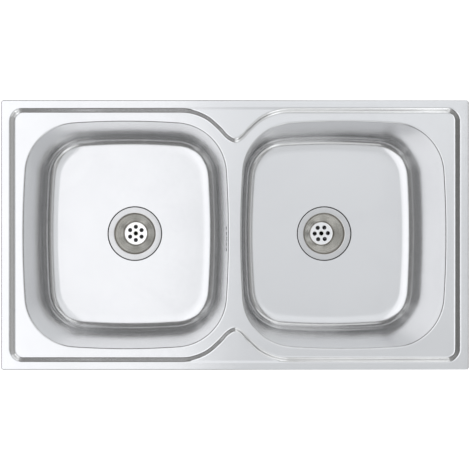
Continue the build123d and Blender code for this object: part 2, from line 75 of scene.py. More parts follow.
class Side(Enum):
    """The left or the right bowl, with the sign of its X."""

    LEFT = -1
    RIGHT = 1

    @property
    def word(self) -> str:
        """The side as it stands in node names."""
        return self.name.lower()


# ---------------------------------------------------------------- sizes


@dataclass(frozen=True)
class SheetSizes:
    """Heights and thickness that the deck and the bowls share, with the drain's level."""

    thickness: float = 0.8 * MM
    rim_z: float = 4.0 * MM
    ledge_z: float = -4.0 * MM
    seam_z: float = -11.5 * MM
    floor_z: float = -150.5 * MM
    recess_z: float = -153.1 * MM


@dataclass(frozen=True)
class RimSizes:
    """The border, the step inside it and the islands.

    A shoulder is the share of the step's width by which each of its corners stands in from the edge.
    """

    half_width: float = 390.0 * MM
    half_depth: float = 225.0 * MM
    corner_r: float = 5.0 * MM
    roll_r: float = 2.5 * MM
    border_side: float = 13.2 * MM
    border_front: float = 13.0 * MM
    band_side: float = 10.0 * MM
    band_front: float = 7.8 * MM
    step_outer_r: float = 24.0 * MM
    step_inner_r: float = 12.0 * MM
    bend: float = 1.8 * MM
    shoulder_side: float = 0.13
    shoulder_front: float = 0.05
    island_drop: float = 1.2 * MM
    island_half_width: float = 98.0 * MM
    island_reach: float = 49.7 * MM
    island_shape: tuple[tuple[float, float], ...] = (
        (0.0, 1.0),
        (0.143, 0.867),
        (0.271, 0.6),
        (0.48, 0.245),
        (0.738, 0.036),
        (1.0, 0.0),
    )


@dataclass(frozen=True)
class BowlSizes:
    """A drawn bowl and its drain recess."""

    outline_steps: int = 24
    centre_x: float = 182.4 * MM
    half_width: float = 171.4 * MM
    half_depth: float = 190.0 * MM
    bow: float = 10.0 * MM
    corner_r: float = 86.0 * MM
    draft: float = math.radians(5.0)
    mouth_r: float = 3.0 * MM
    foot_r: float = 28.0 * MM
    dish_r: float = 9.0
    drain_x: float = 176.1 * MM
    recess_r: float = 50.5 * MM
    recess_bend: float = 0.5 * MM
    hole_r: float = 43.0 * MM


@dataclass(frozen=True)
class StrainerSizes:
    """The perforated cup in each drain.

    The flange's edge reaches down by a share of the sheet's thickness, round pins cut the holes, and a face
    within `flat_band` of the flange's or the plate's height belongs to that flat.
    """

    flange_r: float = 49.0 * MM
    mouth_r: float = 38.3 * MM
    plate_r: float = 21.3 * MM
    depth: float = 30.0 * MM
    top_z: float = -151.1 * MM
    sheet: float = 1.0 * MM
    edge_r: float = 0.45 * MM
    edge_share: float = 0.9
    mouth_bend: float = 2.6 * MM
    plate_bend: float = 2.0 * MM
    bend_steps: int = 7
    hole_r: float = 4.0 * MM
    pitch_r: float = 12.5 * MM
    hole_count: int = 6
    hole_segments: int = 48
    pin_length: float = 8.0 * MM
    screw_hole_r: float = 5.2 * MM
    flat_band: float = 0.15 * MM
    steps: int = 144


SHEET = SheetSizes()
RIM = RimSizes()
BOWL = BowlSizes()


# ---------------------------------------------------------------- lines in plan and in section


def rounded_path(
    corners: Sequence[tuple[float, float]], radii: Sequence[float], steps: int
) -> list[Vector]:
    """An open path in two dimensions whose inner corners are arcs.

    Args:
        corners: The path's corners, ends included.
        radii: One radius for each inner corner.
        steps: Segments in each arc.

    Returns:
        The points of the path.
    """
    points = [Vector(corner) for corner in corners]
    path = [points[0]]
    for before, corner, after, radius in zip(points, points[1:], points[2:], radii):
        towards = (before - corner).normalized()
        away = (after - corner).normalized()
        half = towards.angle(away) / 2
        reach = radius / math.tan(half)
        centre = corner + (towards + away).normalized() * (radius / math.sin(half))
        start = corner + towards * reach - centre
        turn = start.angle_signed(corner + away * reach - centre)
        for k in range(steps + 1):
            angle = -turn * k / steps
            c, s = math.cos(angle), math.sin(angle)
            path.append(centre + Vector((start.x * c - start.y * s, start.x * s + start.y * c)))
    path.append(points[-1])
    return path


def circle_meeting(first: Vector, first_r: float, second: Vector, second_r: float) -> Vector:
    """The upper right point where two circles meet.

    Args:
        first: Centre of the first circle.
        first_r: Its radius.
        second: Centre of the second circle.
        second_r: Its radius.

    Returns:
        The meeting point with the larger x + y.
    """
    span = second - first
    along = (first_r**2 - second_r**2 + span.length_squared) / (2 * span.length)
    across = math.sqrt(first_r**2 - along**2)
    direction = span.normalized()
    foot = first + direction * along
    side = Vector((-direction.y, direction.x)) * across
    return max(foot + side, foot - side, key=lambda point: point.x + point.y)


def arc(centre: Vector, radius: float, start: float, end: float, steps: int) -> list[Vector]:
    """Points in plan on an arc, without its end.

    Args:
        centre: The arc's centre.
        radius: Its radius.
        start: The angle of its first point.
        end: The angle that it stops short of.
        steps: How many points.

    Returns:
        The points.
    """
    angles = [start + (end - start) * k / steps for k in range(steps)]
    return [centre + Vector((math.cos(angle), math.sin(angle))) * radius for angle in angles]


def bowl_outline(grow: float, z: float, side: Side) -> Ring:
    """A bowl's outline: four bowed sides and four large round corners.

    Args:
        grow: How far the outline lies outside the sharp mouth, negative when inside.
        z: Height of the ring.
        side: Which bowl.

    Returns:
        The ring, anticlockwise from the middle of the right side.
    """
    half_x = BOWL.half_width + grow
    half_y = BOWL.half_depth + grow
    corner_r = BOWL.corner_r + grow
    back_r = ((half_x - BOWL.bow) ** 2 + BOWL.bow**2) / (2 * BOWL.bow)
    right_r = ((half_y - BOWL.bow) ** 2 + BOWL.bow**2) / (2 * BOWL.bow)
    back_centre = Vector((0.0, half_y - back_r))
    right_centre = Vector((half_x - right_r, 0.0))
    corner = circle_meeting(back_centre, back_r - corner_r, right_centre, right_r - corner_r)
    right_end = math.atan2(corner.y - right_centre.y, corner.x - right_centre.x)
    back_start = math.atan2(corner.y - back_centre.y, corner.x - back_centre.x)
    steps = BOWL.outline_steps
    quarter = arc(right_centre, right_r, 0.0, right_end, steps // 2)
    quarter += arc(corner, corner_r, right_end, back_start, steps)
    quarter += arc(back_centre, back_r, back_start, math.pi / 2, steps // 2)
    upper_left = [Vector((-p.x, p.y)) for p in reversed(quarter[1:])]
    top = Vector((0.0, half_y))
    upper = quarter + [top] + upper_left
    lower = [Vector((-p.x, -p.y)) for p in upper]
    centre_x = side.value * BOWL.centre_x
    return [Vector((centre_x + p.x, p.y, z)) for p in upper + lower]


def smooth_through(knots: Sequence[tuple[float, float]], u: float) -> float:
    """A smooth curve through knots, flat at both ends.

    Args:
        knots: (u, v) pairs with rising u.
        u: Where to read the curve.

    Returns:
        The curve's v at u.
    """
    if u <= knots[0][0]:
        return knots[0][1]
    if u >= knots[-1][0]:
        return knots[-1][1]
    slopes = [0.0]
    for before, after in zip(knots, knots[2:]):
        slopes.append((after[1] - before[1]) / (after[0] - before[0]))
    slopes.append(0.0)
    place = max(i for i, knot in enumerate(knots) if knot[0] <= u)
    (u0, v0), (u1, v1) = knots[place], knots[place + 1]
    span = u1 - u0
    t = (u - u0) / span
    rise = (2 * t**3 - 3 * t**2 + 1) * v0 + (3 * t**2 - 2 * t**3) * v1
    return rise + (t**3 - 2 * t**2 + t) * span * slopes[place] + (t**3 - t**2) * span * slopes[place + 1]


# ---------------------------------------------------------------- mesh work


class RingLoft:
    """Grows a mesh ring by ring from a circle, by extruding its rim."""

    def __init__(self, mesh: bmesh.types.BMesh, first: Ring) -> None:
        """Start from a circle that is moved onto the first ring.

        Args:
            mesh: The mesh to build in.
            first: The first ring's points, in order.
        """
        self.mesh = mesh
        self.count = len(first)
        self.layer = mesh.verts.layers.int.get("place") or mesh.verts.layers.int.new("place")
        made = bmesh.ops.create_circle(mesh, cap_ends=False, radius=1.0, segments=self.count)["verts"]
        made.sort(key=lambda vert: math.atan2(vert.co.y, vert.co.x) % math.tau)
        for place, (vert, point) in enumerate(zip(made, first)):
            vert[self.layer] = place
            vert.co = point
        self.rim = self._rim_edges(made)

    @staticmethod
    def _rim_edges(verts: Sequence[bmesh.types.BMVert]) -> list[bmesh.types.BMEdge]:
        """The edges that join the given vertices to each other.

        Args:
            verts: The vertices.

        Returns:
            The edges.
        """
        chosen = set(verts)
        edges = {edge for vert in verts for edge in vert.link_edges}
        return [edge for edge in edges if edge.verts[0] in chosen and edge.verts[1] in chosen]

    def grow(self, ring: Ring) -> None:
        """Extrude the rim and move the new vertices onto a ring.

        Args:
            ring: The next ring's points, as many as the first had.
        """
        geometry = bmesh.ops.extrude_edge_only(self.mesh, edges=self.rim)["geom"]
        verts = [item for item in geometry if isinstance(item, bmesh.types.BMVert)]
        for vert in verts:
            vert.co = ring[vert[self.layer]]
        self.rim = [item for item in geometry if isinstance(item, bmesh.types.BMEdge) and item.is_boundary]

    def follow(self, rings: Sequence[Ring]) -> None:
        """Grow through several rings."""
        for ring in rings:
            self.grow(ring)


def sheet_from(mesh: bmesh.types.BMesh, thickness: float) -> None:
    """Turn a surface that faces the user into sheet metal of a thickness below it.

    Args:
        mesh: The surface, with one open side or more.
        thickness: The sheet's thickness.
    """
    bmesh.ops.remove_doubles(mesh, verts=mesh.verts, dist=SAME_POINT)
    bmesh.ops.recalc_face_normals(mesh, faces=mesh.faces)
    upward = sum(face.normal.z * face.calc_area() for face in mesh.faces)
    if upward < 0:
        bmesh.ops.reverse_faces(mesh, faces=mesh.faces)
    bmesh.ops.solidify(mesh, geom=mesh.faces[:], thickness=thickness)


def place_mesh(mesh: bmesh.types.BMesh, name: str) -> bpy.types.Object:
    """Make an object at the origin from a mesh, smooth but for its sharp edges.

    Args:
        mesh: The mesh, which is freed.
        name: The object's name.

    Returns:
        The new object.
    """
    data = bpy.data.meshes.new(name)
    mesh.to_mesh(data)
    mesh.free()
    for polygon in data.polygons:
        polygon.use_smooth = True
    data.set_sharp_from_angle(angle=SHARP)
    made = bpy.data.objects.new(name, data)
    bpy.context.scene.collection.objects.link(made)
    return made


def cut_away(target: bpy.types.Object, cutter: bpy.types.Object) -> None:
    """Cut one object's shape out of another, and delete the cutter.

    Args:
        target: The object to cut.
        cutter: A closed mesh.
    """
    modifier = target.modifiers.new("holes", "BOOLEAN")
    modifier.operation = "DIFFERENCE"
    modifier.solver = "EXACT"
    modifier.object = cutter
    graph = bpy.context.evaluated_depsgraph_get()
    result = bpy.data.meshes.new_from_object(target.evaluated_get(graph))
    target.modifiers.clear()
    target.data = result
    result.name = target.name
    result.set_sharp_from_angle(angle=SHARP)
    bpy.data.objects.remove(cutter)


# ---------------------------------------------------------------- finishes


# Where most of a noise's values lie.
NOISE_REACH = (0.3, 0.7)
# The least and the most that the grain and a lathe's lines multiply the roughness by.
GRAIN_SWING = (0.9, 1.1)
LATHE_SWING = (0.8, 1.2)
# Broad clouds in the grain's roughness, for each fine grain.
BROAD_SHARE = 0.12
# The noise values between which a soft mark fades in.
MARK_REACH = (0.38, 0.72)
# The pointiness of an edge that is just rubbed, and of one that is rubbed bare.
EDGE_REACH = (0.52, 0.62)
CHIPS_PER_METRE = 240.0
# A quarter turn of the stretched highlight lays it across a lathe's lines.
ACROSS_THE_LINES = 0.25
# Brown painted shade along the cup's bends, and how strongly it is laid on where a line is darkest.
BEND_SHADE_COLOUR = (0.13, 0.11, 0.085, 1.0)
BEND_SHADE_DEPTH = 0.8
# Painted shade: the nearly black colour painted inside a deep socket.
SOCKET_PAINTED_SHADE = (0.004, 0.004, 0.003, 1.0)


class Tree:
    """Adds nodes and links to a material, a node group or the world."""

    def __init__(self, tree: bpy.types.NodeTree) -> None:
        """Keep the tree to add to."""
        self.tree = tree

    def feed(self, target: Socket, source: Feed) -> None:
        """Link a socket to an input, or set the input's own value.

        Args:
            target: The input.
            source: A socket or a value.
        """
        if isinstance(source, Socket):
            self.tree.links.new(source, target)
        else:
            target.default_value = source

    def add(self, kind: str, *feeds: Feed, **values: object) -> bpy.types.Node:
        """Add a node, set its properties and feed its inputs.

        Args:
            kind: The node's type name.
            feeds: What goes into its first inputs, in order.
            values: Properties by name, or inputs by name with spaces as underscores.

        Returns:
            The new node.
        """
        node = self.tree.nodes.new(kind)
        for key, value in values.items():
            if hasattr(node, key):
                setattr(node, key, value)
            else:
                self.feed(node.inputs[key.replace("_", " ")], value)
        for target, source in zip(node.inputs, feeds):
            self.feed(target, source)
        return node

    def math(self, operation: str, *feeds: Feed, **values: object) -> Socket:
        """Work a value out from others.

        Args:
            operation: What to do with them.
            feeds: The values to start from, in order.
            values: The node's other properties.

        Returns:
            The result's socket.
        """
        return self.add("ShaderNodeMath", *feeds, operation=operation, **values).outputs[0]

    def noise(self, place: Socket, scale: Feed, **values: float) -> Socket:
        """Cloudy values over a surface.

        Args:
            place: Coordinates on the surface.
            scale: Clouds per metre.
            values: The noise's other inputs.

        Returns:
            The value's socket.
        """
        return self.add("ShaderNodeTexNoise", Vector=place, Scale=scale, **values).outputs["Fac"]

    def ramp(
        self,
        value: Socket,
        reach: tuple[float, float],
        levels: tuple[float, float] = (0.0, 1.0),
        smooth: bool = False,
    ) -> Socket:
        """Map a reach of a value onto two levels, and hold them outside it.

        Args:
            value: The value to map.
            reach: The value at the first and at the second level.
            levels: The two levels.
            smooth: Whether the ramp starts and ends softly.

        Returns:
            The mapped value's socket.
        """
        node = self.add(
            "ShaderNodeMapRange", interpolation_type="SMOOTHSTEP" if smooth else "LINEAR", Value=value,
            From_Min=reach[0], From_Max=reach[1], To_Min=levels[0], To_Max=levels[1],
        )
        return node.outputs["Result"]

    def blend(self, share: Socket, first: Feed, second: Feed, way: str = "MIX") -> Socket:
        """Blend two colours.

        Args:
            share: How much of the second colour there is.
            first: The first colour.
            second: The second colour.
            way: How they are blended.

        Returns:
            The blended colour's socket.
        """
        node = self.add("ShaderNodeMix", data_type="RGBA", blend_type=way, Factor=share, A=first, B=second)
        return node.outputs["Result"]


class Group(Tree):
    """A shader node group that reads coordinates and numbers, and puts out values."""

    def __init__(self, name: str, numbers: dict[str, float], results: Sequence[str]) -> None:
        """Start the group.

        Args:
            name: The group's name.
            numbers: Its inputs besides the coordinates, with their defaults.
            results: Its outputs.
        """
        super().__init__(bpy.data.node_groups.new(name, "ShaderNodeTree"))
        face = self.tree.interface
        face.new_socket(name="Vector", in_out="INPUT", socket_type="NodeSocketVector")
        for label, number in numbers.items():
            socket = face.new_socket(name=label, in_out="INPUT", socket_type="NodeSocketFloat")
            socket.default_value = number
        for label in results:
            face.new_socket(name=label, in_out="OUTPUT", socket_type="NodeSocketFloat")
        self.given = self.add("NodeGroupInput").outputs

    def close(self, **results: Socket) -> bpy.types.NodeTree:
        """Feed the group's outputs, and give back its tree."""
        self.add("NodeGroupOutput", **results)
        return self.tree


def grain_group() -> bpy.types.NodeTree:
    """Fine grain: a height and a value that varies about 1, at a scale in grains per metre.

    Returns:
        The group's tree.
    """
    group = Group("fine_grain", {"Scale": 900.0}, ("Height", "Value"))
    place, scale = group.given["Vector"], group.given["Scale"]
    fine = group.noise(place, scale, Detail=2.0, Roughness=0.6)
    broad = group.noise(place, group.math("MULTIPLY", scale, BROAD_SHARE), Detail=3.0, Roughness=0.55)
    return group.close(Height=fine, Value=group.ramp(broad, NOISE_REACH, GRAIN_SWING))


def turned_group() -> bpy.types.NodeTree:
    """Fine lines of a turned surface: a height and a value that change with the radius about an upright axis.

    The axis stands at plus and minus `Axis X`, so that one material serves the left and the right piece.

    Returns:
        The group's tree.
    """
    group = Group("turned_lines", {"Scale": 900.0, "Axis X": 0.0}, ("Height", "Value", "Radius"))
    parts = group.add("ShaderNodeSeparateXYZ", group.given["Vector"]).outputs
    offset = group.math("SUBTRACT", group.math("ABSOLUTE", parts["X"]), group.given["Axis X"])
    plan = group.add("ShaderNodeCombineXYZ", offset, parts["Y"]).outputs["Vector"]
    radius = group.add("ShaderNodeVectorMath", plan, operation="LENGTH").outputs["Value"]
    section = group.add("ShaderNodeCombineXYZ", radius, parts["Z"]).outputs["Vector"]
    lines = group.noise(section, group.given["Scale"], Detail=3.0, Roughness=0.7)
    return group.close(Height=lines, Value=group.ramp(lines, NOISE_REACH, LATHE_SWING), Radius=radius)


def smudge_group() -> bpy.types.NodeTree:
    """Soft marks of handling and dried water: a mask from 0 to `Amount`.

    Returns:
        The group's tree.
    """
    group = Group("soft_marks", {"Scale": 9.0, "Amount": 0.5}, ("Mask",))
    cloud = group.noise(
        group.given["Vector"], group.given["Scale"], Detail=5.0, Roughness=0.55, Distortion=0.6
    )
    marks = group.ramp(cloud, MARK_REACH, smooth=True)
    return group.close(Mask=group.math("MULTIPLY", marks, group.given["Amount"]))


def wear_group() -> bpy.types.NodeTree:
    """Rubbed edges: a mask that is strongest on outer edges, broken up by noise.

    Returns:
        The group's tree.
    """
    group = Group("rubbed_edges", {"Amount": 0.5}, ("Mask",))
    edge = group.ramp(group.add("ShaderNodeNewGeometry").outputs["Pointiness"], EDGE_REACH)
    chips = group.noise(group.given["Vector"], CHIPS_PER_METRE, Detail=3.0, Roughness=0.6)
    broken = group.math("MULTIPLY", edge, chips)
    return group.close(Mask=group.math("MULTIPLY", broken, group.given["Amount"]))


@dataclass
class Groups:
    """The shared node groups, each built once."""

    grain: bpy.types.NodeTree = field(default_factory=grain_group)
    turned: bpy.types.NodeTree = field(default_factory=turned_group)
    smudge: bpy.types.NodeTree = field(default_factory=smudge_group)
    wear: bpy.types.NodeTree = field(default_factory=wear_group)


def new_material(name: str) -> tuple[bpy.types.Material, Tree]:
    """Start a material without any nodes.

    Args:
        name: The material's name.

    Returns:
        The material and its tree.
    """
    material = bpy.data.materials.new(name)
    material.use_nodes = True
    material.node_tree.nodes.clear()
    return material, Tree(material.node_tree)


@dataclass(frozen=True)
class Finish:
    """A surface with fine grain, soft marks and rubbed edges on one shader.

    Colours are linear. The marks change the colour towards `mark_colour` and the roughness by `mark_rough`.
    `grain_scale` and `mark_scale` count per metre, and `grain_step` is the grain's height in metres.

    Where `turned_about` is set, the grain is a lathe's fine lines about an upright axis at that x. Within the
    painted shade radius of the axis the colour is then painted nearly black, painted shade standing in for
    the inside of a deep socket, and the painted shade rings are radii and half widths of brown lines of
    painted shade about it, at the cup's bends.
    """

    name: str
    slot: str
    colour: Triple
    mark_colour: Triple
    metallic: float = 1.0
    roughness: float = 0.3
    mark_rough: float = 0.06
    grain_scale: float = 900.0
    grain_depth: float = 0.02
    grain_step: float = 0.00005
    mark_scale: float = 9.0
    mark_amount: float = 0.4
    wear_amount: float = 0.3
    anisotropic: float = 0.0
    turned_about: float = 0.0
    painted_shade_r: float = 0.0
    painted_shade_rings: tuple[tuple[float, float], ...] = ()

    def make(self, groups: Groups) -> bpy.types.Material:
        """Build the material.

        Args:
            groups: The shared node groups.

        Returns:
            The finished material.
        """
        material, tree = new_material(self.name)
        place = tree.add("ShaderNodeTexCoord").outputs["Object"]

        def use(group: bpy.types.NodeTree, **values: float) -> Sockets:
            """Place a shared group on the piece's coordinates."""
            return tree.add("ShaderNodeGroup", node_tree=group, Vector=place, **values).outputs

        if self.turned_about:
            grain = use(groups.turned, Scale=self.grain_scale, Axis_X=self.turned_about)
        else:
            grain = use(groups.grain, Scale=self.grain_scale)
        marks = use(groups.smudge, Scale=self.mark_scale, Amount=self.mark_amount)["Mask"]
        wear = use(groups.wear, Amount=self.wear_amount)["Mask"]
        clean = (*self.colour, 1.0)
        colour = tree.blend(marks, clean, (*self.mark_colour, 1.0))
        colour = tree.blend(wear, colour, clean, "SCREEN")
        colour = self._paint_bend_shade(tree, colour, grain)
        colour = self._paint_socket_shade(tree, colour, grain)
        rough = tree.math("MULTIPLY", grain["Value"], self.roughness)
        rough = tree.math("MULTIPLY_ADD", marks, self.mark_rough, rough, use_clamp=True)
        bump = tree.add(
            "ShaderNodeBump", Strength=self.grain_depth, Distance=self.grain_step, Height=grain["Height"]
        )
        shader = tree.add(
            "ShaderNodeBsdfPrincipled", Base_Color=colour, Metallic=self.metallic, Roughness=rough,
            Anisotropic=self.anisotropic, Anisotropic_Rotation=ACROSS_THE_LINES,
            Normal=bump.outputs["Normal"],
        )
        tree.add("ShaderNodeOutputMaterial", Surface=shader.outputs["BSDF"])
        return material

    def _paint_bend_shade(self, tree: Tree, colour: Socket, turned: Sockets) -> Socket:
        """Paint brown lines of shade at the cup's bends over a colour.

        Args:
            tree: The material's tree.
            colour: The colour so far.
            turned: The turned lines, which know the radius.

        Returns:
            The colour to use.
        """
        # Each ring is a line of painted shade, darkest at its radius.
        for radius, half in self.painted_shade_rings:
            offset = tree.math("ABSOLUTE", tree.math("SUBTRACT", turned["Radius"], radius))
            mask = tree.ramp(offset, (0.0, half), (BEND_SHADE_DEPTH, 0.0), smooth=True)
            colour = tree.blend(mask, colour, BEND_SHADE_COLOUR)
        return colour

    def _paint_socket_shade(self, tree: Tree, colour: Socket, turned: Sockets) -> Socket:
        """Paint nearly black shade inside the socket, where the finish has one.

        Args:
            tree: The material's tree.
            colour: The colour so far.
            turned: The turned lines, which know the radius.

        Returns:
            The colour to use.
        """
        if not self.painted_shade_r:
            return colour
        # Nearly black painted shade within the socket's radius of the axis.
        return tree.blend(tree.math("LESS_THAN", turned["Radius"], self.painted_shade_r), colour, SOCKET_PAINTED_SHADE)


SATIN_STEEL = Finish(
    "satin_steel_finish", "satin_steel", (0.775, 0.777, 0.78), (0.725, 0.727, 0.735),
    roughness=0.20, grain_depth=0.12, mark_rough=0.03, mark_amount=0.35,
)
# The cup's two rings are painted shade, at its mouth bend and at the plate's edge.
CUP_STEEL = Finish(
    "turned_steel_finish", "brushed_cup_steel", (0.78, 0.77, 0.735), (0.66, 0.65, 0.61),
    roughness=0.28, grain_scale=1600.0, grain_depth=0.5, grain_step=0.00003, mark_scale=40.0,
    anisotropic=0.8, turned_about=BOWL.drain_x, painted_shade_rings=((37.2 * MM, 2.4 * MM), (22.6 * MM, 2.0 * MM)),
)
# The flange and the plate are the cup's steel painted darker and lighter: shaded and lit copies of one
# material.
FLANGE_SHADED_STEEL = Finish(
    "shaded_flange_finish", "brushed_cup_steel", (0.65, 0.65, 0.65), (0.585, 0.585, 0.58),
    roughness=0.22, grain_scale=1600.0, grain_depth=0.2, grain_step=0.00002, mark_scale=40.0,
    turned_about=BOWL.drain_x,
)
PLATE_LIT_STEEL = Finish(
    "lit_plate_finish", "brushed_cup_steel", (0.93, 0.93, 0.925), (0.88, 0.88, 0.87),
    roughness=0.16, grain_depth=0.1, mark_scale=60.0, turned_about=BOWL.drain_x,
)
SCREW_STEEL = Finish(
    "plain_screw_finish", "screw_steel", (0.70, 0.71, 0.72), (0.6, 0.6, 0.6), roughness=0.25
)
# The centre screw's head is painted nearly black near its axis, painted shade standing in for its deep
# socket.
SOCKET_STEEL = Finish(
    "socket_screw_finish", "screw_steel", (0.88, 0.88, 0.84), (0.82, 0.81, 0.74),
    roughness=0.2, grain_depth=0.1, mark_scale=60.0, turned_about=BOWL.drain_x, painted_shade_r=4.1 * MM,
)
ZINC = Finish(
    "zinc_plate_finish", "zinc_steel", (0.62, 0.64, 0.65), (0.60, 0.57, 0.50),
    roughness=0.34, mark_scale=30.0, mark_amount=0.7,
)
BRASS = Finish(
    "bare_brass_finish", "brass", (0.78, 0.60, 0.30), (0.55, 0.42, 0.22), roughness=0.33, mark_scale=60.0
)
WHITE_PLASTIC = Finish(
    "white_moulding_finish", "white_plastic", (0.80, 0.80, 0.78), (0.74, 0.74, 0.71),
    metallic=0.0, roughness=0.42, grain_scale=700.0, grain_depth=0.3, wear_amount=0.1,
)
BLACK_PLASTIC = Finish(
    "black_moulding_finish", "black_plastic", (0.012, 0.012, 0.013), (0.022, 0.022, 0.022),
    metallic=0.0, roughness=0.5, grain_scale=700.0, grain_depth=0.3, wear_amount=0.1,
)
BITUMEN = Finish(
    "bitumen_pad_finish", "bitumen", (0.035, 0.035, 0.038), (0.06, 0.06, 0.062),
    metallic=0.0, roughness=0.8, grain_scale=420.0, grain_depth=0.9, grain_step=0.0004, wear_amount=0.2,
)
FOAM = Finish(
    "foam_strip_finish", "foam_seal", (0.075, 0.075, 0.08), (0.11, 0.11, 0.115),
    metallic=0.0, roughness=0.9, grain_scale=1500.0, grain_depth=0.9, grain_step=0.0002,
)
BLACK_RUBBER = Finish(
    "black_rubber_finish", "black_rubber", (0.02, 0.02, 0.02), (0.05, 0.05, 0.05),
    metallic=0.0, roughness=0.6, grain_depth=0.4,
)


# A kept node takes the finish of the entry that its name starts with.
FINISH_BY_NODE = {
    "overflow_screw": SCREW_STEEL,
    "centre_screw": SOCKET_STEEL,
    "centre_insert": BRASS,
    "clamp_studs": ZINC,
    "clamp_nut": ZINC,
    "clamp_claw": ZINC,
    "waste_body": BLACK_PLASTIC,
    "overflow_head": BLACK_PLASTIC,
    "overflow_pipe": WHITE_PLASTIC,
    "union_nut": WHITE_PLASTIC,
    "union_ring": BLACK_RUBBER,
    "overflow_gasket": BLACK_RUBBER,
    "waste_washer": BLACK_RUBBER,
    "floor_gasket": BLACK_RUBBER,
    "sound_pad": BITUMEN,
    "edge_seal": FOAM,
}


@dataclass
class Wardrobe:
    """Makes each finish once and gives it to nodes and pieces."""

    groups: Groups = field(default_factory=Groups)
    made: dict[str, bpy.types.Material] = field(default_factory=dict)

    def material(self, finish: Finish) -> bpy.types.Material:
        """Find a finish's material, or make it on first use.

        Args:
            finish: The finish.

        Returns:
            Its material.
        """
        if finish.name not in self.made:
            self.made[finish.name] = finish.make(self.groups)
        return self.made[finish.name]

    def dress_nodes(self, nodes: dict[str, bpy.types.Object]) -> None:
        """Give every kept node its finish.

        Args:
            nodes: The frame's nodes by name.
        """
        for name, node in nodes.items():
            for start, finish in FINISH_BY_NODE.items():
                if name.startswith(start):
                    dress(node, self.material(finish))
                    LOG.info("%s keeps its mesh in %s", name, finish.name)


def dress(piece: bpy.types.Object, material: bpy.types.Material) -> None:
    """Give a piece one material, in place of any it has.

    Args:
        piece: A CAD node or a new piece.
        material: The finish.
    """
    if not piece.material_slots:
        piece.data.materials.append(material)
    for slot in piece.material_slots:
        slot.material = material


# ---------------------------------------------------------------- the sheet steel pieces


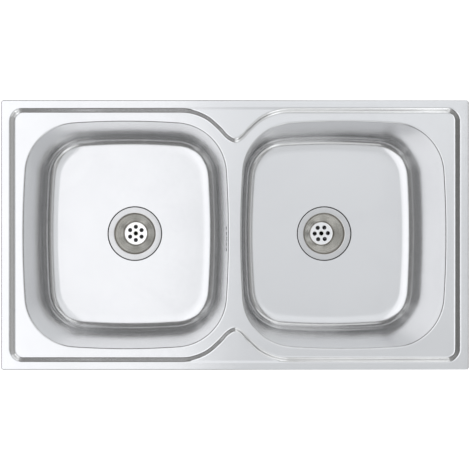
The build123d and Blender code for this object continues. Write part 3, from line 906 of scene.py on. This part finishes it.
@dataclass
class Deck:
    """The pressed rim: border, step, islands, ledge and a collar down into each bowl.

    The step's lower face grows flatter where an island's curve crosses it, down to `least_lean` of its slope.
    The lips are narrow rings, one on the ledge round each mouth and one above each weld seam.
    """

    finish: Finish = SATIN_STEEL
    rim: RimSizes = RIM
    sheet: SheetSizes = SHEET
    back_steps: int = 88
    lead_steps: int = 12
    side_steps: int = 16
    corner_steps: int = 12
    roll_steps: int = 8
    mouth_steps: int = 9
    bend_shares: tuple[float, ...] = (-1.3, -1.0, -0.6, -0.2, 0.2, 0.6, 1.0, 1.3)
    ring_gap: float = 0.15 * MM
    island_margin: float = 1.02
    least_lean: float = 0.35
    ledge_lip: float = 0.6 * MM
    seam_lip: float = 0.8 * MM

    @property
    def node(self) -> str:
        """The node that the deck stands for."""
        return "deck"

    def _column_x(self, k: int, straight: float) -> float:
        """X of a point on the back or front side, closer together over the islands.

        Args:
            k: Number of the point along the side.
            straight: Half the length of the side's straight part.

        Returns:
            The point's x.
        """
        middle = self.back_steps - 2 * self.lead_steps
        reach = min(self.rim.island_half_width * self.island_margin, straight)
        if k < self.lead_steps:
            return -straight + (straight - reach) * k / self.lead_steps
        if k > self.lead_steps + middle:
            return reach + (straight - reach) * (k - self.lead_steps - middle) / self.lead_steps
        return -reach + 2 * reach * (k - self.lead_steps) / middle

    def outline(self, half_x: float, half_y: float, radius: float) -> list[Vector]:
        """A rounded rectangle in plan, clockwise from its upper left corner.

        Args:
            half_x: Half its width.
            half_y: Half its depth.
            radius: Its corner radius.

        Returns:
            Points that answer one to one to those of any other outline made here.
        """
        straight_x = half_x - radius
        straight_y = half_y - radius

        def corner(angle: float, centre_y: float) -> Vector:
            """A point on a right corner, at an angle about the corner's centre."""
            return Vector((straight_x + radius * math.cos(angle), centre_y + radius * math.sin(angle)))

        half = []
        for k in range(self.back_steps):
            half.append(Vector((self._column_x(k, straight_x), half_y)))
        for k in range(self.corner_steps):
            half.append(corner(math.pi / 2 * (1 - k / self.corner_steps), straight_y))
        for k in range(self.side_steps):
            half.append(Vector((half_x, straight_y * (1 - 2 * k / self.side_steps))))
        for k in range(self.corner_steps):
            half.append(corner(-math.pi / 2 * k / self.corner_steps, -straight_y))
        return half + [Vector((-p.x, -p.y)) for p in half]

    def island_depth(self, x: float) -> float:
        """How far the foot line is pushed in by an island at x."""
        share = abs(x) / self.rim.island_half_width
        return self.rim.island_reach * smooth_through(self.rim.island_shape, share)

    def _foot_outline(self) -> list[Vector]:
        """The step's foot line, with an island's curve at the back and at the front.

        Returns:
            Its points, which answer one to one to the outlines'.
        """
        rim = self.rim
        inner_x = rim.half_width - rim.border_side - rim.band_side
        inner_y = rim.half_depth - rim.border_front - rim.band_front
        line = self.outline(inner_x, inner_y, rim.step_inner_r)
        moved = []
        for point in line:
            if abs(abs(point.y) - inner_y) < SAME_LINE:
                depth = self.island_depth(point.x)
                moved.append(Vector((point.x, math.copysign(inner_y - depth, point.y))))
            else:
                moved.append(point)
        return moved

    def _step_rings(self) -> list[Ring]:
        """Rings from the border's inner edge down the step, over the islands, to the ledge.

        Returns:
            The rings, from the border down.
        """
        rim, sheet = self.rim, self.sheet
        outer_x = rim.half_width - rim.border_side
        outer_y = rim.half_depth - rim.border_front
        top = self.outline(outer_x, outer_y, rim.step_outer_r)
        foot = self._foot_outline()
        drop = sheet.rim_z - sheet.ledge_z
        columns = []
        count = len(top)
        for i, (start, end) in enumerate(zip(top, foot)):
            run = end - start
            length = run.length
            along = (foot[(i + 1) % count] - foot[i - 1]).normalized()
            over_side = abs(abs(start.y) - outer_y) < SAME_LINE
            band = rim.band_front if over_side else length
            way = run / length
            shoulder = band * (rim.shoulder_front + (rim.shoulder_side - rim.shoulder_front) * way.x**2)
            slope = drop / (band - 2 * shoulder)
            lean = abs(along.x) if over_side else 1.0
            lower_slope = slope * max(lean, self.least_lean)
            foot_end = length - shoulder
            first = shoulder + rim.island_drop / slope
            last = foot_end - (drop - rim.island_drop) / lower_slope
            if last < first:
                last = first
                lower_slope = (drop - rim.island_drop) / (foot_end - first)
            corners = (shoulder, first, last, foot_end)
            columns.append(self._column(start, way, (slope, lower_slope), corners))
        return [list(ring) for ring in zip(*columns)]

    def _column(
        self, start: Vector, way: Vector, slopes: tuple[float, float], corners: Sequence[float]
    ) -> Ring:
        """One column of points down the step.

        Args:
            start: Its place on the step's upper line.
            way: Its direction in plan.
            slopes: Slopes of the upper and the lower face.
            corners: How far along the column each face starts and ends.

        Returns:
            The column's points, from the border to the ledge.
        """
        bend = self.rim.bend

        def ramp(place: float, corner: float) -> float:
            """A ramp that starts at a corner, rounded over the bend.

            Args:
                place: Where to read it, along the column.
                corner: Where it starts.

            Returns:
                How far past the corner the ramp has come.
            """
            if place <= corner - bend:
                return 0.0
            if place >= corner + bend:
                return place - corner
            return (place - corner + bend) ** 2 / (4 * bend)

        upper, lower = slopes
        top, first, last, end = corners
        places = sorted(corner + share * bend for corner in corners for share in self.bend_shares)
        for k in range(1, len(places)):
            places[k] = max(places[k], places[k - 1] + self.ring_gap)
        column = []
        for place in places:
            fall = upper * (ramp(place, top) - ramp(place, first))
            fall += lower * (ramp(place, last) - ramp(place, end))
            spot = start + way * place
            column.append(Vector((spot.x, spot.y, self.sheet.rim_z - fall)))
        return column

    def _border_rings(self) -> list[Ring]:
        """Rings up the rim's outer edge and over its roll.

        Returns:
            The rings, from the worktop up.
        """
        rim, sheet = self.rim, self.sheet
        rings = []
        for z in (0.0, sheet.rim_z - rim.roll_r):
            line = self.outline(rim.half_width, rim.half_depth, rim.corner_r)
            rings.append([Vector((p.x, p.y, z)) for p in line])
        for k in range(1, self.roll_steps + 1):
            angle = math.pi / 2 * k / self.roll_steps
            inset = rim.roll_r * (1 - math.cos(angle))
            z = sheet.rim_z - rim.roll_r * (1 - math.sin(angle))
            line = self.outline(rim.half_width - inset, rim.half_depth - inset, rim.corner_r - inset)
            rings.append([Vector((p.x, p.y, z)) for p in line])
        return rings

    def _mouth_rings(self, side: Side) -> list[Ring]:
        """Rings from the ledge over a bowl's mouth and down to the weld seam.

        Args:
            side: Which bowl.

        Returns:
            The rings, from the ledge down.
        """
        ledge, seam = self.sheet.ledge_z, self.sheet.seam_z
        bend = math.pi / 2 - BOWL.draft
        tangent = BOWL.mouth_r * math.tan(bend / 2)
        rings = [bowl_outline(tangent + self.ledge_lip, ledge, side)]
        for k in range(self.mouth_steps + 1):
            angle = bend * k / self.mouth_steps
            grow = tangent - BOWL.mouth_r * math.sin(angle)
            rings.append(bowl_outline(grow, ledge - BOWL.mouth_r * (1 - math.cos(angle)), side))
        for z in (seam + self.seam_lip, seam):
            rings.append(bowl_outline(-(ledge - z) * math.tan(BOWL.draft), z, side))
        return rings

    def build(self) -> bpy.types.Object:
        """Model the deck.

        Returns:
            The deck's object.
        """
        mesh = bmesh.new()
        border = self._border_rings()
        rim_loft = RingLoft(mesh, border[0])
        rim_loft.follow(border[1:])
        rim_loft.follow(self._step_rings())
        edges = list(rim_loft.rim)
        for side in Side:
            rings = self._mouth_rings(side)
            mouth = RingLoft(mesh, rings[0])
            edges += mouth.rim
            mouth.follow(rings[1:])
        bmesh.ops.triangle_fill(mesh, use_beauty=True, use_dissolve=False, edges=edges)
        sheet_from(mesh, self.sheet.thickness)
        return place_mesh(mesh, "pressed_deck")

    def dress(self, piece: bpy.types.Object, wardrobe: Wardrobe) -> None:
        """Give the deck its satin finish."""
        dress(piece, wardrobe.material(self.finish))


@dataclass
class Bowl:
    """One drawn bowl: wall, rounded foot, dished floor, drain recess, and the left one's overflow.

    The overflow slots are cut by upright slot-shaped pins, whose length runs through the wall.
    """

    side: Side
    finish: Finish = SATIN_STEEL
    wall_steps: int = 7
    foot_steps: int = 20
    floor_steps: int = 12
    bend_steps: int = 5
    overflow_y: float = -7.0 * MM
    overflow_depth: float = 21.0 * MM
    overflow_width: float = 5.5 * MM
    overflow_height: float = 12.0 * MM
    overflow_pitch: float = 9.2 * MM
    overflow_count: int = 5
    pin_segments: int = 40
    pin_length: float = 12.0 * MM

    @property
    def node(self) -> str:
        """The node that the bowl stands for."""
        return f"bowl_{self.side.word}"

    @property
    def drain(self) -> Vector:
        """The drain's centre in plan."""
        return Vector((self.side.value * BOWL.drain_x, 0.0))

    def dish(self, point: Vector) -> float:
        """Height of the dished floor at a point."""
        return SHEET.floor_z + (point.xy - self.drain).length_squared / (2 * BOWL.dish_r)

    def _foot_ring(self, angle: float) -> Ring:
        """A ring of the rounded foot, where the foot's face leans by an angle.

        Args:
            angle: 0 at the floor, up to 90 degrees less the draft at the wall.

        Returns:
            The ring.
        """
        slope = math.tan(BOWL.draft)
        radius = BOWL.foot_r
        centre_z = SHEET.floor_z + radius
        centre_grow = -(SHEET.ledge_z - centre_z) * slope - radius / math.cos(BOWL.draft)
        inner = bowl_outline(centre_grow, 0.0, self.side)
        ring = bowl_outline(centre_grow + radius * math.sin(angle), 0.0, self.side)
        for point, foot in zip(ring, inner):
            lift = self.dish(foot) - SHEET.floor_z
            share = math.cos(angle) ** 2
            point.z = centre_z - radius * math.cos(angle) + lift * share
        return ring

    def _rings(self) -> list[Ring]:
        """All rings of the bowl.

        Returns:
            The rings, from the weld seam down to the drain hole.
        """
        slope = math.tan(BOWL.draft)
        lean = math.pi / 2 - BOWL.draft
        foot_top = SHEET.floor_z + BOWL.foot_r * (1 - math.cos(lean))
        rings = []
        for k in range(self.wall_steps):
            z = SHEET.seam_z + (foot_top - SHEET.seam_z) * k / self.wall_steps
            rings.append(bowl_outline(-(SHEET.ledge_z - z) * slope, z, self.side))
        for k in range(self.foot_steps + 1):
            rings.append(self._foot_ring(lean * (1 - k / self.foot_steps)))
        edge = rings[-1]
        for k in range(1, self.floor_steps + 1):
            rings.append(self._towards_drain(edge, k / self.floor_steps))
        for radius, z in self._recess_section():
            rings.append([self._round_point(point, radius, z) for point in edge])
        return rings

    def _recess_section(self) -> list[tuple[float, float]]:
        """The drain recess in section.

        Returns:
            Radius and height of each ring, from just inside the recess's lip to the drain hole.
        """
        bend = BOWL.recess_bend
        section = []
        for k in range(1, self.bend_steps + 1):
            angle = math.pi / 2 * k / self.bend_steps
            radius = BOWL.recess_r + bend - bend * math.sin(angle)
            section.append((radius, SHEET.floor_z - bend * (1 - math.cos(angle))))
        for k in range(self.bend_steps + 1):
            angle = math.pi / 2 * k / self.bend_steps
            radius = BOWL.recess_r - bend * (1 - math.cos(angle))
            section.append((radius, SHEET.recess_z + bend * (1 - math.sin(angle))))
        section.append((BOWL.recess_r - 2 * bend, SHEET.recess_z))
        section.append((BOWL.hole_r, SHEET.recess_z))
        return section

    def _round_point(self, point: Vector, radius: float, z: float) -> Vector:
        """The point on a circle about the drain that lies towards another point.

        Args:
            point: The other point.
            radius: The circle's radius.
            z: Its height.

        Returns:
            The point on the circle.
        """
        way = (point.xy - self.drain).normalized()
        spot = self.drain + way * radius
        return Vector((spot.x, spot.y, z))

    def _towards_drain(self, edge: Ring, share: float) -> Ring:
        """A ring of the dished floor between the foot's inner edge and the drain recess.

        Args:
            edge: The foot's inner edge.
            share: How much of the way to the recess the ring has come.

        Returns:
            The ring.
        """
        ring = []
        for point in edge:
            near = self._round_point(point, BOWL.recess_r + BOWL.recess_bend, 0.0)
            spot = point.lerp(near, share)
            spot.z = self.dish(spot)
            ring.append(spot)
        return ring

    def build(self) -> bpy.types.Object:
        """Model the bowl.

        Returns:
            The bowl's object.
        """
        mesh = bmesh.new()
        rings = self._rings()
        loft = RingLoft(mesh, rings[0])
        loft.follow(rings[1:])
        sheet_from(mesh, SHEET.thickness)
        bowl = place_mesh(mesh, f"drawn_bowl_{self.side.word}")
        if self.side is Side.LEFT:
            cut_away(bowl, self._overflow_cutter())
        return bowl

    def _overflow_cutter(self) -> bpy.types.Object:
        """Upright slot pins through the wall beside the other bowl, one for each overflow hole.

        Returns:
            The pins, as one object.
        """
        mesh = bmesh.new()
        slope = math.tan(BOWL.draft)
        x = -(BOWL.centre_x - BOWL.half_width + self.overflow_depth * slope)
        z = SHEET.ledge_z - self.overflow_depth
        radius = self.overflow_width / 2
        half_segment = Matrix.Rotation(math.pi / self.pin_segments, 4, "Z")
        turn = Matrix.Rotation(math.pi / 2, 4, "Y") @ half_segment
        for k in range(self.overflow_count):
            y = self.overflow_y + (k - (self.overflow_count - 1) / 2) * self.overflow_pitch
            pin = bmesh.ops.create_cone(
                mesh, cap_ends=True, segments=self.pin_segments, radius1=radius, radius2=radius,
                depth=self.pin_length, matrix=Matrix.Translation((x, y, z)) @ turn,
            )
            for vert in pin["verts"]:
                vert.co.z += math.copysign(self.overflow_height / 2 - radius, vert.co.z - z)
        return place_mesh(mesh, "overflow_pins")

    def dress(self, piece: bpy.types.Object, wardrobe: Wardrobe) -> None:
        """Give the bowl its satin finish."""
        dress(piece, wardrobe.material(self.finish))


@dataclass
class StrainerCup:
    """A turned strainer cup with its holes."""

    side: Side
    finish: Finish = CUP_STEEL
    shaded_and_lit_flats: tuple[Finish, Finish] = (FLANGE_SHADED_STEEL, PLATE_LIT_STEEL)
    sizes: StrainerSizes = StrainerSizes()
    left_turn: float = math.radians(30.0)
    right_turn: float = math.radians(2.0)

    @property
    def node(self) -> str:
        """The node that the cup stands for."""
        return f"strainer_cup_{self.side.word}"

    @property
    def turn(self) -> float:
        """How far the ring of holes is turned."""
        return self.left_turn if self.side is Side.LEFT else self.right_turn

    def _section(self) -> list[Vector]:
        """The cup's upper face in section.

        Returns:
            Radius and height of each point, from the flange's edge to the screw hole.
        """
        s = self.sizes
        top, plate = s.top_z, s.top_z - s.depth
        corners = [
            (s.flange_r, top - s.sheet * s.edge_share),
            (s.flange_r, top),
            (s.mouth_r, top),
            (s.plate_r, plate),
            (s.screw_hole_r, plate),
        ]
        return rounded_path(corners, (s.edge_r, s.mouth_bend, s.plate_bend), s.bend_steps)

    def build(self) -> bpy.types.Object:
        """Model the cup.

        Returns:
            The cup's object.
        """
        s = self.sizes
        centre = Vector((self.side.value * BOWL.drain_x, 0.0, 0.0))
        mesh = bmesh.new()
        before = None
        for point in self._section():
            vert = mesh.verts.new((centre.x + point.x, 0.0, point.y))
            if before is not None:
                mesh.edges.new((before, vert))
            before = vert
        bmesh.ops.spin(
            mesh, geom=mesh.verts[:] + mesh.edges[:], cent=centre, axis=(0, 0, 1), dvec=(0, 0, 0),
            angle=math.tau, steps=s.steps, use_merge=True, use_duplicate=False,
        )
        sheet_from(mesh, s.sheet)
        cup = place_mesh(mesh, f"turned_cup_{self.side.word}")
        pins = bmesh.new()
        for k in range(s.hole_count):
            angle = self.turn + math.tau * k / s.hole_count
            spot = centre + Vector((math.cos(angle), math.sin(angle), 0.0)) * s.pitch_r
            spot.z = s.top_z - s.depth
            bmesh.ops.create_cone(
                pins, cap_ends=True, segments=s.hole_segments, radius1=s.hole_r, radius2=s.hole_r,
                depth=s.pin_length, matrix=Matrix.Translation(spot),
            )
        cut_away(cup, place_mesh(pins, "strainer_pins"))
        return cup

    def dress(self, piece: bpy.types.Object, wardrobe: Wardrobe) -> None:
        """Give the cup its turned finish, the flange a painted shade copy and the plate a painted light copy.

        Args:
            piece: The cup.
            wardrobe: What makes the finishes.
        """
        dress(piece, wardrobe.material(self.finish))
        # The flat flange gets the painted shade copy and the flat plate the painted light copy.
        for finish in self.shaded_and_lit_flats:
            piece.data.materials.append(wardrobe.material(finish))
        levels = (self.sizes.top_z, self.sizes.top_z - self.sizes.depth)
        for polygon in piece.data.polygons:
            for index, level in enumerate(levels, start=1):
                if abs(polygon.center.z - level) < self.sizes.flat_band:
                    polygon.material_index = index


def stand_in(piece: bpy.types.Object, node: str) -> None:
    """Let a new piece stand for a node of the sink's fixed body.

    Args:
        piece: The new piece.
        node: The node that it replaces.
    """
    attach(piece, "sink")
    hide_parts(node)
    LOG.info("%s stands for %s with %d faces", piece.name, node, len(piece.data.polygons))


# ---------------------------------------------------------------- studio


class Facing(Enum):
    """Where a lamp looks."""

    FLOOR = "straight down"
    SINK = "at the middle of the sink"


@dataclass(frozen=True)
class SoftBox:
    """A soft box lamp, whose radiance is that of its lit face."""

    name: str
    place: Triple
    size: tuple[float, float]
    radiance: float
    colour: Triple
    facing: Facing = Facing.FLOOR

    def build(self) -> None:
        """Hang the lamp, with the power that gives its face the wanted radiance."""
        lamp = bpy.data.lights.new(self.name, "AREA")
        lamp.shape = "RECTANGLE"
        lamp.size, lamp.size_y = self.size
        lamp.energy = self.radiance * math.pi * self.size[0] * self.size[1]
        lamp.color = self.colour
        holder = bpy.data.objects.new(self.name, lamp)
        holder.location = self.place
        x, y, _ = self.place
        aim = (x, y, 0.0) if self.facing is Facing.FLOOR else (0.0, 0.0, 0.0)
        look = Vector(aim) - Vector(self.place)
        holder.rotation_euler = look.to_track_quat("-Z", "Y").to_euler()
        bpy.context.scene.collection.objects.link(holder)


@dataclass
class Studio:
    """Floor, lamps, world and camera.

    Ceiling lamps that overlap hang at slightly different heights, because lamps in exactly one plane don't
    add up where steel mirrors them. A reach holds the ends of a ramp, and the levels are its values there.
    """

    camera_place: Triple = (-0.0865, 0.022, 1.310)
    camera_near: float = 0.05
    lens: float = 60.12
    film_width: float = 36.0
    shift_x: float = 0.1106
    shift_y: float = -0.0281
    floor_z: float = -0.2305
    floor_half: float = 6.0
    floor_colour: Triple = (0.55, 0.55, 0.55)
    floor_glow: float = 0.80
    floor_mirrored: float = 0.5
    # The floor's glow stops in this rectangle under the sink, a painted shadow with a soft edge.
    painted_shadow_half: tuple[float, float] = (0.40, 0.235)
    painted_shadow_edge: float = 0.06
    room_colour: Triple = (1.0, 0.995, 0.98)
    wall_levels: tuple[float, float] = (0.24, 0.50)
    wall_reach: tuple[float, float] = (-0.7, 0.8)
    horizon_levels: tuple[float, float] = (1.05, 0.6)
    horizon_reach: tuple[float, float] = (0.10, 0.36)
    boxes: tuple[SoftBox, ...] = (
        SoftBox("left_ceiling_box", (-1.95, 0.0, 3.0), (3.9, 7.2), 1.05, (0.955, 0.965, 1.0)),
        SoftBox("far_left_box", (-2.4, 0.0, 3.05), (3.0, 7.2), 0.12, (0.96, 0.97, 1.0)),
        SoftBox("right_ceiling_box", (1.05, 0.0, 3.0), (2.1, 7.2), 0.55, (0.92, 0.95, 1.0)),
        SoftBox("right_middle_box", (1.05, 1.55, 3.05), (2.1, 4.1), 0.075, (0.92, 0.95, 1.0)),
        SoftBox("back_right_box", (1.05, 1.95, 3.1), (2.1, 3.3), 0.12, (0.97, 0.98, 1.0)),
        SoftBox("right_strip", (3.4, 0.0, 3.0), (1.2, 4.0), 0.40, (0.95, 0.975, 1.0)),
        SoftBox("back_right_window", (1.75, 2.4, 0.9), (3.2, 1.5), 0.85, (0.97, 0.985, 1.0), Facing.SINK),
        SoftBox("front_right_window", (2.1, -2.1, 0.9), (2.6, 1.5), 0.60, (0.97, 0.985, 1.0), Facing.SINK),
        SoftBox("front_window", (0.95, -2.6, 0.72), (1.5, 1.66), 0.72, (0.97, 0.985, 1.0), Facing.SINK),
    )

    def _camera(self) -> None:
        """Set up the camera, which looks straight down."""
        lens = bpy.data.cameras.new("overhead_camera")
        lens.lens = self.lens
        lens.sensor_width = self.film_width
        lens.shift_x = self.shift_x
        lens.shift_y = self.shift_y
        lens.clip_start = self.camera_near
        camera = bpy.data.objects.new("overhead_camera", lens)
        camera.location = self.camera_place
        bpy.context.scene.collection.objects.link(camera)
        bpy.context.scene.camera = camera

    def _floor(self) -> None:
        """Lay the pale floor, just below the sink."""
        mesh = bmesh.new()
        bmesh.ops.create_grid(mesh, x_segments=2, y_segments=2, size=self.floor_half)
        bmesh.ops.translate(mesh, verts=mesh.verts, vec=(0.0, 0.0, self.floor_z))
        floor = place_mesh(mesh, "pale_floor")
        dress(floor, self._floor_finish())

    def _floor_finish(self) -> bpy.types.Material:
        """Make the floor read white and keep the shadow, and make it clear when seen from below.

        Under the sink its glow is cut off, which paints a shadow there.

        Returns:
            The floor's material.
        """
        material, tree = new_material("pale_floor_finish")
        ray = tree.add("ShaderNodeLightPath").outputs
        mirrored = tree.math("MULTIPLY", ray["Is Glossy Ray"], self.floor_mirrored)
        seen = tree.math("MAXIMUM", ray["Is Camera Ray"], mirrored)
        seen = tree.math("MAXIMUM", seen, ray["Is Transmission Ray"])
        level = tree.math("MULTIPLY", seen, self.floor_glow)
        # The glow is cut off under the sink: painted shadow.
        glow = tree.add("ShaderNodeEmission", Strength=tree.math("MULTIPLY", level, self._painted_shadow_mask(tree)))
        matt = tree.add("ShaderNodeBsdfDiffuse", Color=(*self.floor_colour, 1.0))
        pale = tree.add("ShaderNodeAddShader", matt.outputs["BSDF"], glow.outputs["Emission"])
        below = tree.add("ShaderNodeNewGeometry").outputs["Backfacing"]
        open_to = tree.math("MAXIMUM", below, ray["Is Shadow Ray"])
        clear = tree.add("ShaderNodeBsdfTransparent")
        floor = tree.add("ShaderNodeMixShader", open_to, pale.outputs["Shader"], clear.outputs["BSDF"])
        tree.add("ShaderNodeOutputMaterial", Surface=floor.outputs["Shader"])
        return material

    def _painted_shadow_mask(self, tree: Tree) -> Socket:
        """A painted shadow: 0 on the floor under the sink and 1 outside it, where the floor glows.

        Args:
            tree: The floor material's tree.

        Returns:
            The value's socket.
        """
        place = tree.add("ShaderNodeTexCoord").outputs["Object"]
        parts = tree.add("ShaderNodeSeparateXYZ", place).outputs
        past = []
        for axis, half in zip("XY", self.painted_shadow_half):
            size = tree.math("ABSOLUTE", parts[axis])
            past.append(tree.ramp(size, (half - self.painted_shadow_edge, half)))
        return tree.math("MAXIMUM", *past)

    def _world(self) -> None:
        """Light the room plainly, brighter at its right wall and low down, before a white backdrop."""
        world = bpy.data.worlds.new("studio_room")
        world.use_nodes = True
        backdrop = world.node_tree.nodes["Background"]
        backdrop.inputs["Color"].default_value = (*self.room_colour, 1.0)
        tree = Tree(world.node_tree)
        way = tree.add("ShaderNodeTexCoord").outputs["Generated"]
        parts = tree.add("ShaderNodeSeparateXYZ", way).outputs
        wall = tree.ramp(parts["X"], self.wall_reach, self.wall_levels, smooth=True)
        horizon = tree.ramp(parts["Z"], self.horizon_reach, self.horizon_levels, smooth=True)
        white = tree.add("ShaderNodeLightPath").outputs["Is Camera Ray"]
        strength = tree.math("MAXIMUM", tree.math("MULTIPLY", wall, horizon), white)
        tree.feed(backdrop.inputs["Strength"], strength)
        bpy.context.scene.world = world

    def build(self) -> None:
        """Set the whole studio up."""
        self._camera()
        self._floor()
        self._world()
        for box in self.boxes:
            box.build()
        bpy.context.scene.view_settings.view_transform = "Standard"
        LOG.info("studio with %d soft boxes", len(self.boxes))


# ---------------------------------------------------------------- the sink


def main() -> None:
    """Build the studio, model the sheet steel pieces and dress the sink."""
    logging.basicConfig(level=logging.INFO)
    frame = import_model()
    Studio().build()
    wardrobe = Wardrobe()
    parts: list[Union[Deck, Bowl, StrainerCup]] = [Deck()]
    for side in Side:
        parts += [Bowl(side), StrainerCup(side)]
    for part in parts:
        piece = part.build()
        part.dress(piece, wardrobe)
        stand_in(piece, part.node)
    wardrobe.dress_nodes(frame["nodes"])


if __name__ == "__main__":
    main()
